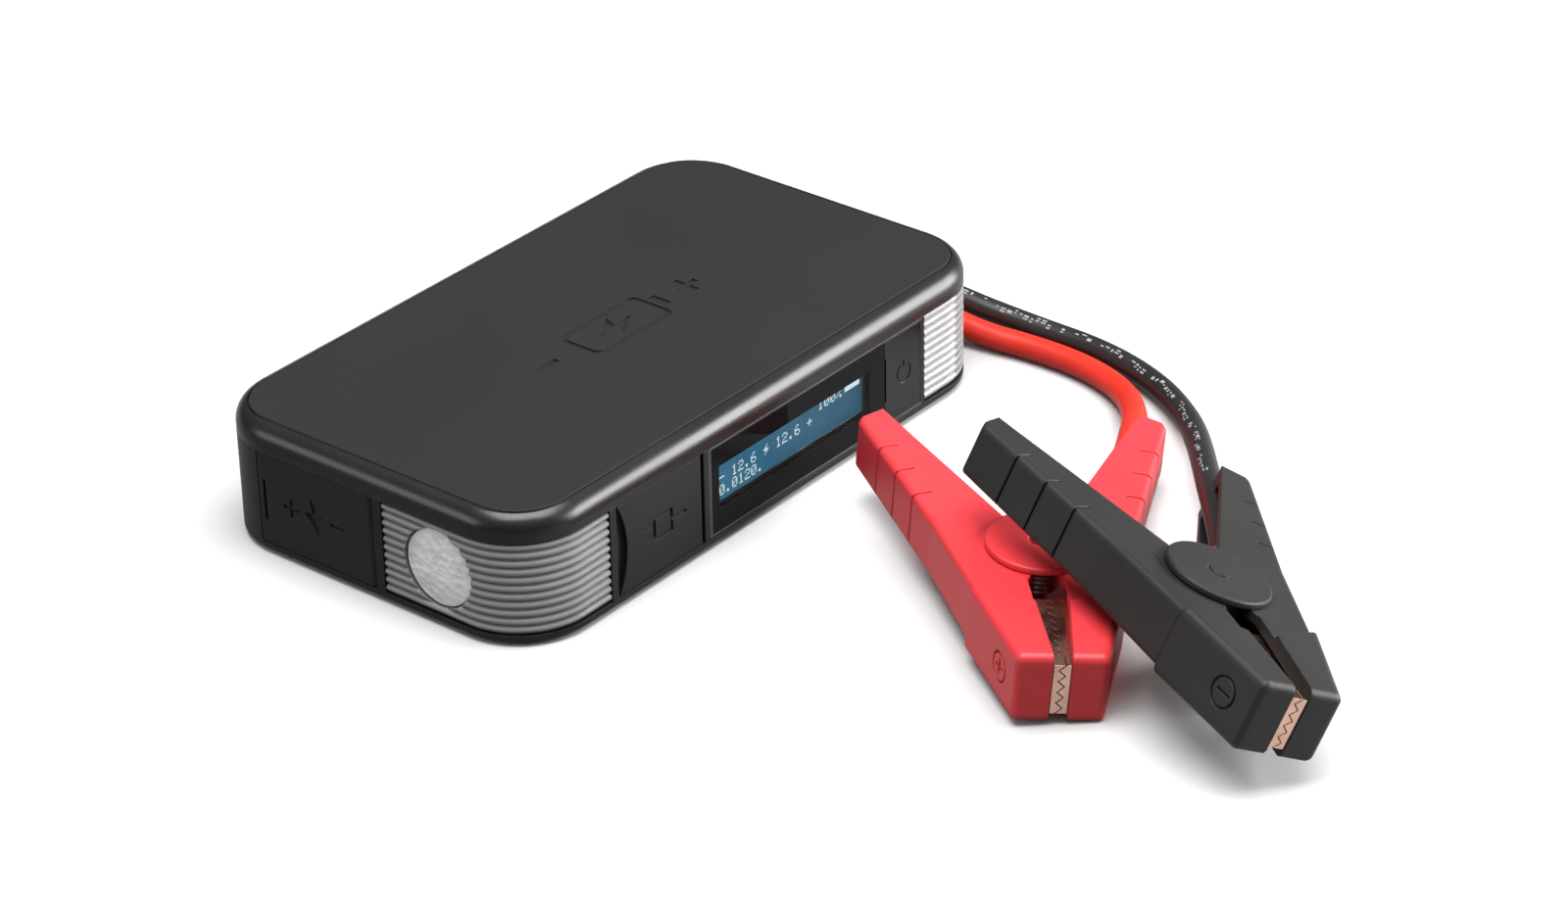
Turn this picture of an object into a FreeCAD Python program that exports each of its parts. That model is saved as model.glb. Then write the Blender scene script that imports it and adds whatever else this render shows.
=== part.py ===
import FreeCAD, Part
import math
import os

"""Pocket jump starter pack with a plug-in pair of battery clamps, in millimetres.

The pack lies flat: X is its length, Y its width, Z is up and z = 0 is the surface it rests on.
The long side at -Y carries the display and the USB ports, the short side at -X carries the
torch and the power sockets, and the clamp leads plug into the short side at +X.
"""

Vec = FreeCAD.Vector
Z_AXIS = Vec(0, 0, 1)

# ---- case ----
CASE_L = 160.0
CASE_W = 92.5
CASE_H = 31.15
CORNER_R = 17.5
WALL = 2.0
SPLIT_Z = 24.9
UNDER_Z = 0.8
FLOOR_Z = 3.2
ROOF_T = 2.0
TOP_FILLET = 4.6
PLATE_INSET = 3.4
PLATE_CORNER_R = 12.5
PLATE_T = 1.0
PLATE_GAP = 0.3
MAT_INSET = 5.0
MAT_T = 1.4
MAT_RECESS = 0.6

# ---- window band round the sides ----
BAND_Z0 = 3.0
BAND_Z1 = 24.7
BAND_MID = (BAND_Z0 + BAND_Z1) / 2
BAND_T = 2.0
GAP = 0.3
LENS_X = 54.2
LENS_Y = -5.5
RIDGES = 11
RIDGE_DEPTH = 0.6
SKIN = 1.6
BARREL_R = 1.25
HINGE_PIN_R = 0.5
PIN_CLEAR = 0.05

USB_X0 = -52.2
USB_X1 = -23.7
AUX_Y0 = -3.1
AUX_Y1 = 30.5
DISPLAY_X0 = -22.5
DISPLAY_X1 = 52.6
SCREEN = (-18.7, 33.5, 9.0, 19.3)
BUTTON_X0 = 39.2
BUTTON_X1 = 52.1

TORCH_Y = -20.7
TORCH_Z = 14.0
TORCH_R = 8.85

# ---- jump socket and plug, on the +X side ----
SOCKET_Y = 17.0
SOCKET_Z = 9.25
CAVITY_W = 20.0
CAVITY_H = 10.0
CAVITY_DEPTH = 14.0
CONTACT_PITCH = 9.6
CONTACT_R = 2.5
SLEEVE_R = 3.2
PLUG_L = 18.0
PLUG_W = 31.0
PLUG_Z0 = 1.6
PLUG_Z1 = 14.8
LEAD_X_RED = 86.3
LEAD_X_BLACK = 94.3
LEAD_Z = 7.2

# ---- inside the pack ----
BOARD_Z0 = 4.2
BOARD_T = 1.4
CELL_X0 = -50.0
CELL_X1 = 48.0
CELL_Y0 = -3.5
CELL_Y1 = 41.5
CELL_T = 6.2
CELL_COUNT = 3
CELL_GAP = 0.15
CELL_BASE_Z = FLOOR_Z + 1.1

# ---- leads ----
CABLE_R = 2.9

# ---- clamp, in its own frame: +X to the jaws, +Y to lever B, +Z out of its upper face ----
JAW_END = 41.7
JAW_HALF = 8.3
JAW_GAP = 1.9
TIP_U = -51.2
TIP_V = 33.7
TIP_IN_U = -55.5
TIP_IN_V = 28.0
BEND_U = -9.8
BEND_V = 21.7
STEP_U = 15.9
STEP_V = 15.6
MOUTH_U = 21.5
MOUTH_V = 3.6
PANEL_RAISE = 1.0
PANEL_ROUND = 1.8
PANEL_REAR_ROUND = 0.6
PANEL_HALF_T = 8.0
TIP_HALF_T = 6.1
BEND_HALF_T = 6.5
STEP_HALF_T = 7.0
CLAMP_WALL = 1.8
EAR_R = 7.5
EAR_CLEAR = 0.35
DISC_R = 11.6
DISC_Z0 = 7.15
DISC_Z1 = 8.5
RIVET_R = 2.0
JAW_HALF_T = 4.0
END_PLATE_HALF_T = 5.8
TOOTH_H = 0.7
TOOTH_PITCH = 2.5

CLAMPS = {
    "red": {"at": (-1.5, -117.2, 10.05), "yaw": -137.7, "pitch": 2.0, "roll": -4.5},
    "black": {"at": (-3.4, -159.6, 18.7), "yaw": -122.9, "pitch": 3.0, "roll": -23.5},
}

# Centre lines of the two leads: out of the plug's reliefs, along the surface, into lever B.
RED_ROUTE = [
    (LEAD_X_RED, -12.0, LEAD_Z),
    (86.2, -24.0, 5.8),
    (86.6, -37.5, 3.4),
    (88.9, -52.0, 3.1),
    (88.4, -67.0, 3.1),
    (83.4, -80.5, 3.4),
    (72.5, -90.8, 5.8),
    (58.8, -98.8, 8.8),
    (44.4, -106.4, 10.0),
    (32.0, -112.2, 9.8),
]
BLACK_ROUTE = [
    (LEAD_X_BLACK, -12.0, LEAD_Z),
    (94.3, -26.0, 5.6),
    (96.9, -44.5, 3.1),
    (96.8, -66.0, 3.1),
    (91.0, -85.0, 3.1),
    (81.0, -99.5, 3.6),
    (69.8, -109.6, 6.0),
    (57.0, -119.8, 9.0),
    (44.0, -130.6, 10.6),
    (32.4, -140.2, 11.8),
    (24.5, -146.2, 12.6),
]


# ---------------------------------------------------------------- helpers
def box(x0, x1, y0, y1, z0, z1):
    return Part.makeBox(x1 - x0, y1 - y0, z1 - z0, Vec(x0, y0, z0))


def rod(r, start, end):
    a = Vec(*start)
    b = Vec(*end)
    return Part.makeCylinder(r, (b - a).Length, a, b - a)


def prism(points, z0, z1):
    corners = [Vec(x, y, z0) for x, y in points]
    face = Part.Face(Part.makePolygon(corners + corners[:1]))
    return face.extrude(Vec(0, 0, z1 - z0))


def ring(r_out, r_in, z0, z1, x=0.0, y=0.0):
    outer = rod(r_out, (x, y, z0), (x, y, z1))
    return outer.cut(rod(r_in, (x, y, z0 - 1), (x, y, z1 + 1)))


def fuse(shapes):
    first = shapes[0]
    if len(shapes) == 1:
        return first
    return first.multiFuse(shapes[1:]).removeSplitter()


def cut(shape, tools):
    for tool in tools:
        shape = shape.cut(tool)
    return shape


def one_solid(shape):
    return max(shape.Solids, key=lambda s: s.Volume)


def group(shapes):
    solids = []
    for shape in shapes:
        solids.extend(shape.Solids)
    return Part.makeCompound(solids)


def rounded_box(x0, x1, y0, y1, z0, z1, r, axis=Z_AXIS):
    block = box(x0, x1, y0, y1, z0, z1)
    along = [e for e in block.Edges if abs(e.tangentAt(0).dot(axis)) > 0.99]
    return block.makeFillet(r, along)


def edges_at(shape, z, tolerance=0.01):
    found = []
    for edge in shape.Edges:
        box_ = edge.BoundBox
        if abs(box_.ZMin - z) < tolerance and abs(box_.ZMax - z) < tolerance:
            found.append(edge)
    return found


def plan(inset, z0, z1):
    """The case's outline, moved inward by an inset, as a prism."""
    half_l = CASE_L / 2 - inset
    half_w = CASE_W / 2 - inset
    return rounded_box(-half_l, half_l, -half_w, half_w, z0, z1, CORNER_R - inset)


def plate_plan(inset, z0, z1):
    """The top plate's outline, moved inward by an inset, as a prism."""
    half_l = CASE_L / 2 - PLATE_INSET - inset
    half_w = CASE_W / 2 - PLATE_INSET - inset
    return rounded_box(-half_l, half_l, -half_w, half_w, z0, z1, PLATE_CORNER_R - inset)


def wall_band(depth0, depth1, x0, x1, y0, y1, z0, z1):
    """A stretch of the side wall between two depths, following the rounded corners."""
    shell = plan(depth0, z0, z1).cut(plan(depth1, z0 - 1, z1 + 1))
    return shell.common(box(x0, x1, y0, y1, z0, z1))


# ---------------------------------------------------------------- case
def posts():
    return [(-59.0, -31.0), (59.0, -31.0), (-69.0, 35.0), (69.0, 35.0)]


def top_shell():
    outer = plan(0, SPLIT_Z, CASE_H)
    outer = outer.makeFillet(TOP_FILLET, edges_at(outer, CASE_H))
    inner = plan(WALL, SPLIT_Z - 1, CASE_H - ROOF_T)
    recess = plate_plan(0, CASE_H - PLATE_T, CASE_H + 1)
    shell = cut(outer, [inner, recess])
    legs = [rod(3.0, (x, y, 8.0), (x, y, CASE_H - ROOF_T + 0.5)) for x, y in posts()]
    holes = [rod(1.0, (x, y, 7.0), (x, y, 20.0)) for x, y in posts()]
    return one_solid(cut(fuse([shell] + legs), holes + hinge_pin_holes()))


def top_plate_marks():
    """A minus, a battery outline with a bolt in it and a plus, as the shapes to sink into the top plate."""
    z0 = CASE_H - 0.5
    z1 = CASE_H + 1
    frame = rounded_box(-13, 13, -6.5, 6.5, z0, z1, 2.6)
    frame = frame.cut(rounded_box(-11.4, 11.4, -4.9, 4.9, z0, z1, 1.4))
    cap = rounded_box(13.9, 16.1, -2.8, 2.8, z0, z1, 0.8)
    bolt = prism([(-6.2, -0.8), (1.4, 3.9), (0.2, 0.8), (6.2, 0.8), (-1.4, -3.9), (-0.2, -0.8)], z0, z1)
    minus = box(-26.5, -19.5, -0.8, 0.8, z0, z1)
    plus = box(20.5, 27.5, -0.8, 0.8, z0, z1).fuse(box(23.2, 24.8, -3.5, 3.5, z0, z1))
    marks = group([frame, cap, bolt, minus, plus])
    marks.translate(Vec(0, -2.0, 0))
    return marks


def top_plate():
    z_top = CASE_H - 0.05
    plate = plate_plan(PLATE_GAP, CASE_H - PLATE_T + 0.05, z_top)
    plate = plate.makeFillet(0.35, edges_at(plate, z_top))
    return one_solid(plate.cut(top_plate_marks()))


def hinge_pin_axes():
    """Plan positions of the two flap hinges: USB ports, then power sockets."""
    usb = (USB_X1 - GAP - BARREL_R, -CASE_W / 2 + BARREL_R)
    aux = (-CASE_L / 2 + BARREL_R, AUX_Y0 + GAP + BARREL_R)
    return [usb, aux]


def hinge_pin_holes():
    clear = 0.02
    radius = HINGE_PIN_R + clear
    return [rod(radius, (x, y, 1.6), (x, y, SPLIT_Z + 1.3)) for x, y in hinge_pin_axes()]


def hinge_pins():
    return group([rod(HINGE_PIN_R, (x, y, 1.7), (x, y, SPLIT_Z + 1.2)) for x, y in hinge_pin_axes()])


def usb_openings():
    """Mouths of the two stacked USB-A sockets and the USB-C socket behind the flap."""
    front = -CASE_W / 2 - 1
    back = -CASE_W / 2 + 8
    tall = [box(x0, x1, front, back, z0, z1) for x0, x1, z0, z1 in usb_a_outlines(0.15)]
    x0, x1, z0, z1 = usb_c_outline(0.15)
    slot = rounded_box(x0, x1, front, back, z0, z1, (z1 - z0) / 2 - 0.01, Vec(0, 1, 0))
    return tall + [slot]


def usb_a_outlines(grow=0.0):
    x_mid = -44.2
    half_x = 6.6 + grow
    half_z = 2.9 + grow
    return [(x_mid - half_x, x_mid + half_x, z - half_z, z + half_z) for z in (9.6, 18.2)]


def usb_c_outline(grow=0.0):
    return (-36.0 - grow, -27.0 + grow, 7.6 - 1.65 - grow, 7.6 + 1.65 + grow)


def jack_centres():
    """Round power sockets behind the short side's flap: (y, z)."""
    return [(8.0, BAND_MID), (21.0, BAND_MID)]


def bottom_shell():
    half_l = CASE_L / 2
    half_w = CASE_W / 2
    outer = plan(0, UNDER_Z, SPLIT_Z)
    outer = outer.makeFillet(1.2, edges_at(outer, UNDER_Z))
    tub = outer.cut(plan(WALL, FLOOR_Z, SPLIT_Z + 1))
    z_in = FLOOR_Z - 1
    usb_backing = box(USB_X0 - 0.4, DISPLAY_X0 - 0.2, -half_w + 0.5, -half_w + 4.4, z_in, SPLIT_Z)
    aux_backing = wall_band(0.5, 4.4, -half_l, -half_l + 20, AUX_Y0 - 0.6, AUX_Y1 + 0.4, z_in, SPLIT_Z)
    socket_frame = box(half_l - 4.0, half_l - 0.5, SOCKET_Y - 13, SOCKET_Y + 13, z_in, SOCKET_Z + 7.5)
    sleeves = [rod(3.4, (x, y, FLOOR_Z - 1), (x, y, 7.8)) for x, y in posts()]
    tub = fuse([tub, usb_backing, aux_backing, socket_frame] + sleeves)

    z_sill = BAND_Z0 - 0.2
    z_open = SPLIT_Z + 1
    lens_front = wall_band(-1, 2.6, -half_l - 1, -LENS_X, -half_w - 1, LENS_Y, z_sill, z_open)
    lens_rear = wall_band(-1, 2.6, LENS_X - 0.7, half_l + 1, -half_w - 1, LENS_Y, z_sill, z_open)
    display = box(DISPLAY_X0, DISPLAY_X1, -half_w - 1, -half_w + 2.2, z_sill, z_open)
    usb_recess = box(USB_X0, USB_X1, -half_w - 1, -half_w + SKIN + 0.3, z_sill, z_open)
    aux_recess = wall_band(-1, SKIN + 0.3, -half_l - 1, -half_l + 20, AUX_Y0, AUX_Y1, z_sill, z_open)
    barrels = [rod(BARREL_R + GAP, (x, y, z_sill), (x, y, z_open)) for x, y in hinge_pin_axes()]
    jacks = [rod(4.3, (-half_l - 1, y, z), (-half_l + 8, y, z)) for y, z in jack_centres()]
    socket = rounded_box(half_l - 6, half_l + 1, SOCKET_Y - 11.6, SOCKET_Y + 11.6,
                         SOCKET_Z - 5.9, SOCKET_Z + 6.6, 1.5, Vec(1, 0, 0))
    screws = []
    for x, y in posts():
        screws.append(rod(1.3, (x, y, 0), (x, y, 9)))
        screws.append(rod(2.6, (x, y, 0), (x, y, 3.6)))
    mat = plan(MAT_INSET, UNDER_Z - 1, UNDER_Z + MAT_RECESS)
    tools = [lens_front, lens_rear, display, usb_recess, aux_recess, socket, mat]
    tools += barrels + jacks + usb_openings() + screws + hinge_pin_holes()
    return one_solid(cut(tub, tools))


def base_mat():
    mat = plan(MAT_INSET + PLATE_GAP, 0, MAT_T)
    ribs = [box(x - 0.4, x + 0.4, -33, 33, -1, 0.35) for x in range(-57, 61, 6)]
    return one_solid(cut(mat, ribs))


def case_screws():
    solids = []
    for x, y in posts():
        head = rod(2.3, (x, y, 1.7), (x, y, 3.5)).cut(ring(1.1, 0.5, 1.0, 2.6, x, y))
        thread = rod(0.95, (x, y, 3.4), (x, y, 12.0))
        solids.append(head.fuse(thread).removeSplitter())
    return group(solids)


# ---------------------------------------------------------------- side lights and torch
def ridge_profile(z0, z1, depth):
    """Saw-tooth section of the ribbed lens as (depth from the case's face, z) points."""
    pitch = (z1 - z0) / RIDGES
    points = []
    for i in range(RIDGES):
        foot = z0 + i * pitch
        points.append((RIDGE_DEPTH, foot))
        points.append((0.05, foot + 0.45 * pitch))
        points.append((0.05, foot + 0.7 * pitch))
    points.append((RIDGE_DEPTH, z1))
    points.append((depth, z1))
    points.append((depth, z0))
    return points


def ribbed_corner(end_x, end_y):
    """Lens round the -X, -Y corner from end_y on the short side to end_x on the long side."""
    half_l = CASE_L / 2
    half_w = CASE_W / 2
    profile = ridge_profile(BAND_Z0, BAND_Z1, BAND_T)
    centre = Vec(-half_l + CORNER_R, -half_w + CORNER_R, 0)

    def section(place):
        corners = [place(depth, z) for depth, z in profile]
        return Part.Face(Part.makePolygon(corners + corners[:1]))

    at_corner = section(lambda d, z: Vec(centre.x, -half_w + d, z))
    long_side = at_corner.extrude(Vec(end_x - centre.x, 0, 0))
    corner = at_corner.revolve(centre, Z_AXIS, -90)
    past_corner = section(lambda d, z: Vec(-half_l + d, centre.y, z))
    short_side = past_corner.extrude(Vec(0, end_y - centre.y, 0))
    return fuse([long_side, corner, short_side])


def mirrored(shape):
    return shape.mirror(Vec(0, 0, 0), Vec(1, 0, 0))


def light_lens_front():
    lens = ribbed_corner(-LENS_X - GAP, LENS_Y - GAP)
    face_x = -CASE_L / 2
    bore = rod(TORCH_R + 0.35, (face_x - 1, TORCH_Y, TORCH_Z), (face_x + 4, TORCH_Y, TORCH_Z))
    return one_solid(lens.cut(bore))


def light_lens_rear():
    return mirrored(ribbed_corner(-LENS_X + 0.7 - GAP, LENS_Y - GAP))


def lamp_reflector(torch):
    half_l = CASE_L / 2
    half_w = CASE_W / 2
    curved = wall_band(7.0, 7.8, -half_l, -LENS_X - 1, -half_w, LENS_Y - 1, 3.7, 23.4)
    lip = wall_band(3.2, 7.8, -half_l, -LENS_X - 1, -half_w, LENS_Y - 1, 3.4, 4.2)
    trough = fuse([curved, lip])
    if torch:
        bore = rod(TORCH_R + 0.6, (-half_l, TORCH_Y, TORCH_Z), (-half_l + 14, TORCH_Y, TORCH_Z))
        trough = trough.cut(bore)
    return one_solid(trough)


def lamp_leds(torch):
    """Strip boards in front of the reflector with a row of LED chips on each."""
    half_l = CASE_L / 2
    half_w = CASE_W / 2
    long_board = box(-61.5, -LENS_X - 1.5, -half_w + 5.9, -half_w + 6.9, 8.0, 19.0)
    chips = [box(x - 1.5, x + 1.5, -half_w + 5.1, -half_w + 5.9, z - 1.5, z + 1.5)
             for x in (-59.4,) for z in (10.5, 16.5)]
    solids = [fuse([long_board] + chips)]
    if not torch:
        y_mid = (LENS_Y - half_w + CORNER_R) / 2
        board_x = -half_l + 5.9
        short_board = box(board_x, board_x + 1, y_mid - 8, y_mid + 8, 8.0, 19.0)
        middles = [y_mid + d for d in (-5, 0, 5)]
        row = [box(board_x - 0.8, board_x, y - 1.5, y + 1.5, 12, 15) for y in middles]
        solids.append(fuse([short_board] + row))
    return group(solids)


def torch_lens():
    face_x = -CASE_L / 2
    dome_r = 42.0
    dome = Part.makeSphere(dome_r, Vec(face_x + dome_r, TORCH_Y, TORCH_Z))
    disc = rod(TORCH_R, (face_x - 1, TORCH_Y, TORCH_Z), (face_x + 2.2, TORCH_Y, TORCH_Z))
    return one_solid(disc.common(dome))


def torch_reflector():
    """Deep cup behind the torch lens, open towards it."""
    mouth_x = -CASE_L / 2 + 2.4
    depth = 9.5
    steps = 6
    inner = []
    for i in range(steps + 1):
        t = i / steps
        inner.append((mouth_x + depth * (1 - t * t), 2.2 + 6.0 * t))
    outer = [(x + 0.25, r + 0.5) for x, r in reversed(inner)]
    outline = [Vec(x, TORCH_Y, TORCH_Z + r) for x, r in inner + outer]
    face = Part.Face(Part.makePolygon(outline + outline[:1]))
    return one_solid(face.revolve(Vec(0, TORCH_Y, TORCH_Z), Vec(1, 0, 0), 360))


def torch_led():
    back_x = -CASE_L / 2 + 2.4 + 9.5 + 0.4
    board = rod(7.0, (back_x, TORCH_Y, TORCH_Z), (back_x + 1.2, TORCH_Y, TORCH_Z))
    chip = box(back_x - 0.7, back_x, TORCH_Y - 1.3, TORCH_Y + 1.3, TORCH_Z - 1.3, TORCH_Z + 1.3)
    return one_solid(board.fuse(chip).removeSplitter())


# ---------------------------------------------------------------- flaps, display and button
def usb_flap():
    half_w = CASE_W / 2
    x, y = hinge_pin_axes()[0]
    z0 = BAND_Z0 + 0.1
    plate = box(USB_X0 + GAP, x, -half_w, -half_w + SKIN, z0, BAND_Z1)
    barrel = rod(BARREL_R, (x, y, z0), (x, y, BAND_Z1))
    bore = rod(HINGE_PIN_R + PIN_CLEAR, (x, y, z0 - 1), (x, y, BAND_Z1 + 1))
    notch_r = 22.0
    notch_x = USB_X0 + 3.2 - notch_r
    notch = rod(notch_r, (notch_x, -half_w - 0.2, BAND_MID), (notch_x, -half_w + 1.2, BAND_MID))
    flap = fuse([plate, barrel]).cut(bore).cut(notch)
    return one_solid(flap.cut(usb_mark()))


def usb_mark():
    """A two-pin plug outline sunk into the flap's middle."""
    y0 = -CASE_W / 2 - 0.5
    y1 = -CASE_W / 2 + 0.4
    x = -37.4
    z = BAND_MID

    def slab(x0, x1, z0, z1):
        return box(x + x0, x + x1, y0, y1, z + z0, z + z1)

    body = slab(-3.2, 3.2, -2.8, 2.8).cut(slab(-2.4, 2.4, -2.0, 2.0))
    pins = [slab(-6.6, -3.1, 1.0, 1.8), slab(-6.6, -3.1, -1.8, -1.0)]
    cord = slab(3.1, 7.6, -0.4, 0.4)
    return group([body, cord] + pins)


def aux_flap():
    half_l = CASE_L / 2
    x, y = hinge_pin_axes()[1]
    z0 = BAND_Z0 + 0.1
    plate = wall_band(0, SKIN, -half_l, -half_l + 20, y, AUX_Y1 - GAP, z0, BAND_Z1)
    barrel = rod(BARREL_R, (x, y, z0), (x, y, BAND_Z1))
    bore = rod(HINGE_PIN_R + PIN_CLEAR, (x, y, z0 - 1), (x, y, BAND_Z1 + 1))
    slit = box(-half_l - 1, -half_l + 0.9, 28.2, 28.9, 8.5, 18.5)
    flap = fuse([plate, barrel]).cut(bore).cut(slit)
    return one_solid(flap.cut(polarity_marks()))


def polarity_marks():
    """Minus, bolt and plus sunk into the power sockets' flap."""
    x0 = -CASE_L / 2 - 0.5
    x1 = -CASE_L / 2 + 0.4
    z = BAND_MID

    def slab(y0, y1, z0, z1):
        return box(x0, x1, y0, y1, z + z0, z + z1)

    minus = slab(5.2, 9.6, -0.45, 0.45)
    plus = slab(18.6, 23.0, -0.45, 0.45).fuse(slab(20.35, 21.25, -2.2, 2.2))
    zigzag = [(11.6, 0.7), (15.4, 4.6), (14.6, 1.0), (16.8, 0.6), (12.9, -4.2), (13.8, -0.4)]
    corners = [Vec(x0, y, z + h) for y, h in zigzag]
    bolt = Part.Face(Part.makePolygon(corners + corners[:1])).extrude(Vec(x1 - x0, 0, 0))
    return group([minus, plus, bolt])


def display_bezel():
    """Frame round the display window, standing in the case's front opening."""
    front = -CASE_W / 2
    z_low = BAND_Z0 + 0.5
    z_high = BAND_Z1 - 0.4
    x0, x1, z0, z1 = SCREEN
    outer = box(DISPLAY_X0 + 0.1, DISPLAY_X1 - 0.1, front, front + 2.0, BAND_Z0, BAND_Z1)
    window = box(DISPLAY_X0 + 1.3, BUTTON_X0 - 0.1, front - 1, front + 1.3, z_low, z_high)
    view = box(x0 - 0.8, x1 + 0.8, front - 1, front + 3, z0 - 0.8, z1 + 0.8)
    button = box(BUTTON_X0 - 0.15, BUTTON_X1 + 0.2, front - 1, front + 3, z_low, z_high)
    corner = [(DISPLAY_X0 - 1, front - 0.6), (DISPLAY_X0 + 1.2, front - 0.6), (DISPLAY_X0 - 1, front + 1.2)]
    bevel = prism(corner, BAND_Z0 - 1, BAND_Z1 + 1)
    return one_solid(cut(outer, [window, view, button, bevel]))


def display_window():
    front = -CASE_W / 2
    z_low = BAND_Z0 + 0.65
    z_high = BAND_Z1 - 0.55
    return box(DISPLAY_X0 + 1.45, BUTTON_X0 - 0.2, front + 0.05, front + 1.2, z_low, z_high)


def lcd_module():
    """Glass cell in a metal frame behind the window."""
    front = -CASE_W / 2 + 2.4
    border = 2.4
    x0, x1, z0, z1 = SCREEN
    frame = box(x0 - border, x1 + border, front, front + 3.0, z0 - border, z1 + border)
    view = box(x0, x1, front - 1, front + 0.6, z0, z1)
    return frame.cut(view)


def lcd_glass():
    front = -CASE_W / 2 + 2.5
    slack = 0.05
    x0, x1, z0, z1 = SCREEN
    return box(x0 + slack, x1 - slack, front, front + 0.45, z0 + slack, z1 - slack)


def power_button():
    front = -CASE_W / 2
    cap = box(BUTTON_X0, BUTTON_X1, front + 0.05, front + 1.6, BAND_Z0 + 0.65, BAND_Z1 - 0.55)
    stem = box(44.5, 47.5, front + 1.6, front + 4.6, BAND_MID - 1.5, BAND_MID + 1.5)
    slit = box(BUTTON_X0 - 1, BUTTON_X0 + 0.45, front - 1, front + 0.8, 9.0, 20.0)
    arc = ring(2.6, 2.1, 0, 0.4).cut(box(-0.8, 0.8, 1.5, 3.5, -1, 1))
    dash = box(-0.25, 0.25, 1.3, 3.3, 0, 0.4)
    mark = group([arc, dash])
    mark.rotate(Vec(0, 0, 0), Vec(1, 0, 0), 90)
    mark.translate(Vec(46.0, front + 0.25, BAND_MID))
    return one_solid(cut(cap.fuse(stem).removeSplitter(), [slit, mark]))


def button_switch():
    front = -CASE_W / 2 + 5.4
    base = box(43.0, 49.0, front + 0.4, front + 3.4, BAND_MID - 3, BAND_MID + 3)
    plunger = rod(1.4, (46.0, front, BAND_MID), (46.0, front + 0.5, BAND_MID))
    return one_solid(base.fuse(plunger).removeSplitter())


# ---------------------------------------------------------------- sockets
def usb_a_sockets():
    mouth = -CASE_W / 2 + SKIN + 0.6
    solids = []
    for x0, x1, z0, z1 in usb_a_outlines():
        can = box(x0, x1, mouth, mouth + 14, z0, z1)
        can = can.cut(box(x0 + 0.35, x1 - 0.35, mouth - 1, mouth + 12, z0 + 0.35, z1 - 0.35))
        tongue = box(x0 + 1.0, x1 - 1.0, mouth + 1.0, mouth + 12.5, z1 - 2.9, z1 - 1.1)
        solids.append(can.fuse(tongue).removeSplitter())
    return group(solids)


def usb_c_socket():
    mouth = -CASE_W / 2 + SKIN + 0.6
    x0, x1, z0, z1 = usb_c_outline()
    along = Vec(0, 1, 0)
    can = rounded_box(x0, x1, mouth, mouth + 7.5, z0, z1, 1.6, along)
    hollow = rounded_box(x0 + 0.3, x1 - 0.3, mouth - 1, mouth + 6, z0 + 0.3, z1 - 0.3, 1.3, along)
    z_mid = (z0 + z1) / 2
    tongue = box(x0 + 1.2, x1 - 1.2, mouth + 0.8, mouth + 6.5, z_mid - 0.35, z_mid + 0.35)
    return one_solid(can.cut(hollow).fuse(tongue).removeSplitter())


def power_sockets():
    """Two round power jacks with a centre pin each."""
    solids = []
    for y, z in jack_centres():
        mouth = -CASE_L / 2 + SKIN + 0.6
        barrel = rod(4.1, (mouth, y, z), (mouth + 12, y, z))
        barrel = barrel.cut(rod(2.8, (mouth - 1, y, z), (mouth + 10, y, z)))
        pin = rod(1.05, (mouth + 1.0, y, z), (mouth + 10.5, y, z))
        solids.append(barrel.fuse(pin).removeSplitter())
    return group(solids)


def jump_socket():
    half_l = CASE_L / 2
    front = half_l - 0.2
    shell = rounded_box(front - 18, front, SOCKET_Y - 11.4, SOCKET_Y + 11.4,
                        SOCKET_Z - 5.7, SOCKET_Z + 6.4, 1.4, Vec(1, 0, 0))
    half_y = CAVITY_W / 2
    half_z = CAVITY_H / 2
    cavity = box(front - CAVITY_DEPTH, front + 1, SOCKET_Y - half_y, SOCKET_Y + half_y,
                 SOCKET_Z - half_z, SOCKET_Z + half_z)
    holes = [rod(CONTACT_R, (front - 20, y, SOCKET_Z), (front, y, SOCKET_Z)) for y in contact_rows()]
    return one_solid(cut(shell, [cavity] + holes))


def contact_rows():
    return [SOCKET_Y - CONTACT_PITCH / 2, SOCKET_Y + CONTACT_PITCH / 2]


def jump_socket_pins():
    front = CASE_L / 2 - 0.2
    pins = []
    for y in contact_rows():
        pin = rod(CONTACT_R, (front - 22, y, SOCKET_Z), (front - 2.0, y, SOCKET_Z))
        pins.append(pin.makeFillet(1.0, [e for e in pin.Edges if e.BoundBox.XMin > front - 2.1]))
    return group(pins)


# ---------------------------------------------------------------- inside the pack

def main_board():
    board = box(-54.0, 54.0, -39.5, -7.0, BOARD_Z0, BOARD_Z0 + BOARD_T)
    holes = [rod(1.6, (x, y, 0), (x, y, 10)) for x in (-48, 48) for y in (-12.0,)]
    wing = box(54.0, 71.5, -12.0, -4.5, BOARD_Z0, BOARD_Z0 + BOARD_T)
    return one_solid(cut(fuse([board, wing]), holes))


def board_components():
    """Choke, capacitors, power transistors and controller chips soldered to the board."""
    top = BOARD_Z0 + BOARD_T
    parts = [rounded_box(-20, -8, -33, -21, top, top + 6.5, 2.0)]
    parts += [rod(3.2, (x, -14.0, top), (x, -14.0, top + 8.0)) for x in (-30, -22, -14)]
    parts += [box(x, x + 6.0, -32.0, -26.0, top, top + 1.8) for x in (0, 9, 18, 27)]
    parts += [box(2, 12, -20, -10, top, top + 1.2), box(18, 25, -19, -12, top, top + 1.2)]
    parts += [box(58, 70, -11.2, -5.4, top, top + 3.0)]
    return group(parts)


def cell_z(i):
    """Underside of cell i, counted from the bottom."""
    return CELL_BASE_Z + i * (CELL_T + CELL_GAP)


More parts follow.
